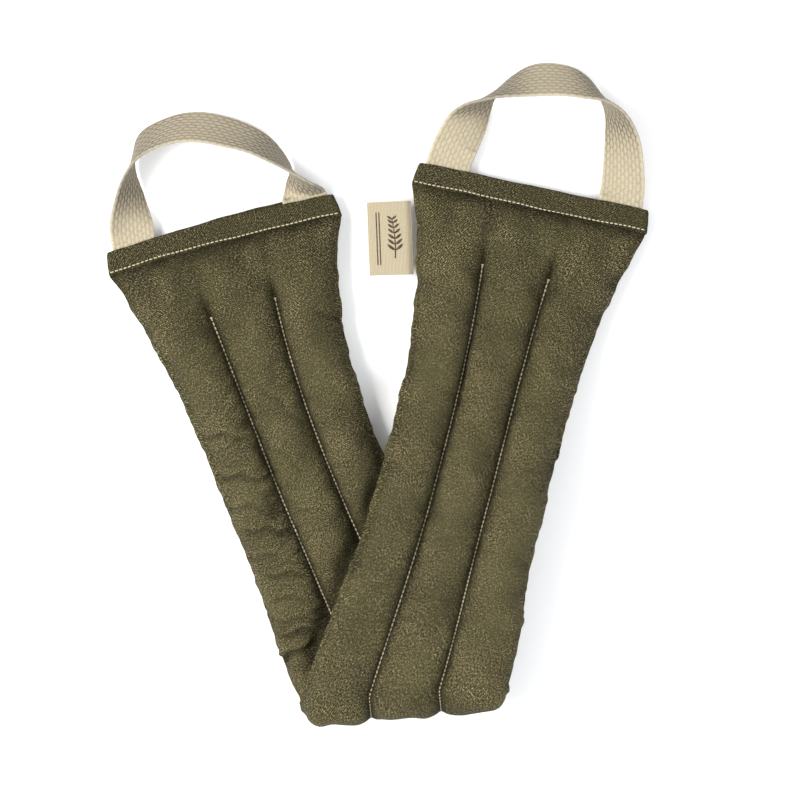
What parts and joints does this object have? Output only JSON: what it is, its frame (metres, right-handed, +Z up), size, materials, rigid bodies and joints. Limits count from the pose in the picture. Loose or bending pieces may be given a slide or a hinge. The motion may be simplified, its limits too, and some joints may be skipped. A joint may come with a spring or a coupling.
{
  "type": "herbal heat wrap",
  "caption": "Long quilted cloth strip filled with grain and herbs, folded once into a V, with a webbing handle at each end and a tape label in a side seam.",
  "frame": {"origin": "on the flat underside of the left arm's middle channel, 90 mm from the fold, at table height", "axes": "+X to the right and +Y from the fold towards the handles, with the wrap lying on the table; +Z up"},
  "size_m": [0.3117, 0.3801, 0.0482],
  "materials": {
    "cover_cloth": "heathered olive plain weave, matt",
    "hem_cloth": "the same cloth folded over, darker where it is creased",
    "herb_fill": "loose grain and dried herbs",
    "hem_thread": "cream topstitching thread",
    "channel_thread": "cream thread sunk between the channels",
    "webbing": "unbleached cotton webbing, chunky weave",
    "label_tape": null
  },
  "bodies": {
    "left_inner": {"left_inner_top_panel": "cover_cloth", "left_inner_bottom_panel": "cover_cloth", "left_inner_fill_1": "herb_fill", "left_inner_fill_2": "herb_fill", "left_inner_fill_3": "herb_fill", "left_inner_seams": "channel_thread", "fold_cover": "cover_cloth", "fold_fill": "herb_fill"},
    "left_outer": {"left_outer_top_panel": "cover_cloth", "left_outer_bottom_panel": "cover_cloth", "left_outer_fill_1": "herb_fill", "left_outer_fill_2": "herb_fill", "left_outer_fill_3": "herb_fill", "left_outer_seams": "channel_thread", "left_hem": "hem_cloth", "left_hem_stitching": "hem_thread", "left_handle_tails": "webbing"},
    "left_handle": {"left_handle_loop": "webbing"},
    "right_inner": {"right_inner_top_panel": "cover_cloth", "right_inner_bottom_panel": "cover_cloth", "right_inner_fill_1": "herb_fill", "right_inner_fill_2": "herb_fill", "right_inner_fill_3": "herb_fill", "right_inner_seams": "channel_thread"},
    "right_outer": {"right_outer_top_panel": "cover_cloth", "right_outer_bottom_panel": "cover_cloth", "right_outer_fill_1": "herb_fill", "right_outer_fill_2": "herb_fill", "right_outer_fill_3": "herb_fill", "right_outer_seams": "channel_thread", "right_hem": "hem_cloth", "right_hem_stitching": "hem_thread", "right_handle_tails": "webbing"},
    "right_handle": {"right_handle_loop": "webbing"},
    "label": {"tape_label": "label_tape"}
  },
  "joints": [
    {"name": "centre_fold", "type": "hinge", "parent": "left_inner", "child": "right_inner", "pos_m": [0.04012, -0.08054, 0.0205], "axis": [0.9957, 0.0924, 0], "range_deg": [0, 179], "stiffness_Nm_per_rad": 0.2},
    {"name": "left_bend", "type": "hinge", "parent": "left_inner", "child": "left_outer", "pos_m": [-0.02504, 0.05998, 0.01242], "axis": [0.9332, 0.3593, 0], "range_deg": [-60, 60], "stiffness_Nm_per_rad": 1},
    {"name": "right_bend", "type": "hinge", "parent": "right_inner", "child": "right_outer", "pos_m": [0.08206, 0.06867, 0.02894], "axis": [0.9686, -0.2487, 0], "range_deg": [-60, 60], "stiffness_Nm_per_rad": 1},
    {"name": "left_handle_hinge", "type": "hinge", "parent": "left_outer", "child": "left_handle", "pos_m": [-0.066, 0.18801, 0.007], "axis": [0.9681, 0.2504, 0], "range_deg": [-90, 45], "stiffness_Nm_per_rad": 0.08},
    {"name": "right_handle_hinge", "type": "hinge", "parent": "right_outer", "child": "right_handle", "pos_m": [0.11502, 0.20935, 0.007], "axis": [0.9781, -0.2079, 0], "range_deg": [-90, 45], "stiffness_Nm_per_rad": 0.08},
    {"name": "label_hinge", "type": "hinge", "parent": "right_outer", "child": "label", "pos_m": [0.04481, 0.17807, 0.01215], "axis": [-0.039, 0.9992, 0], "range_deg": [-90, 110], "stiffness_Nm_per_rad": 0.02}
  ]
}
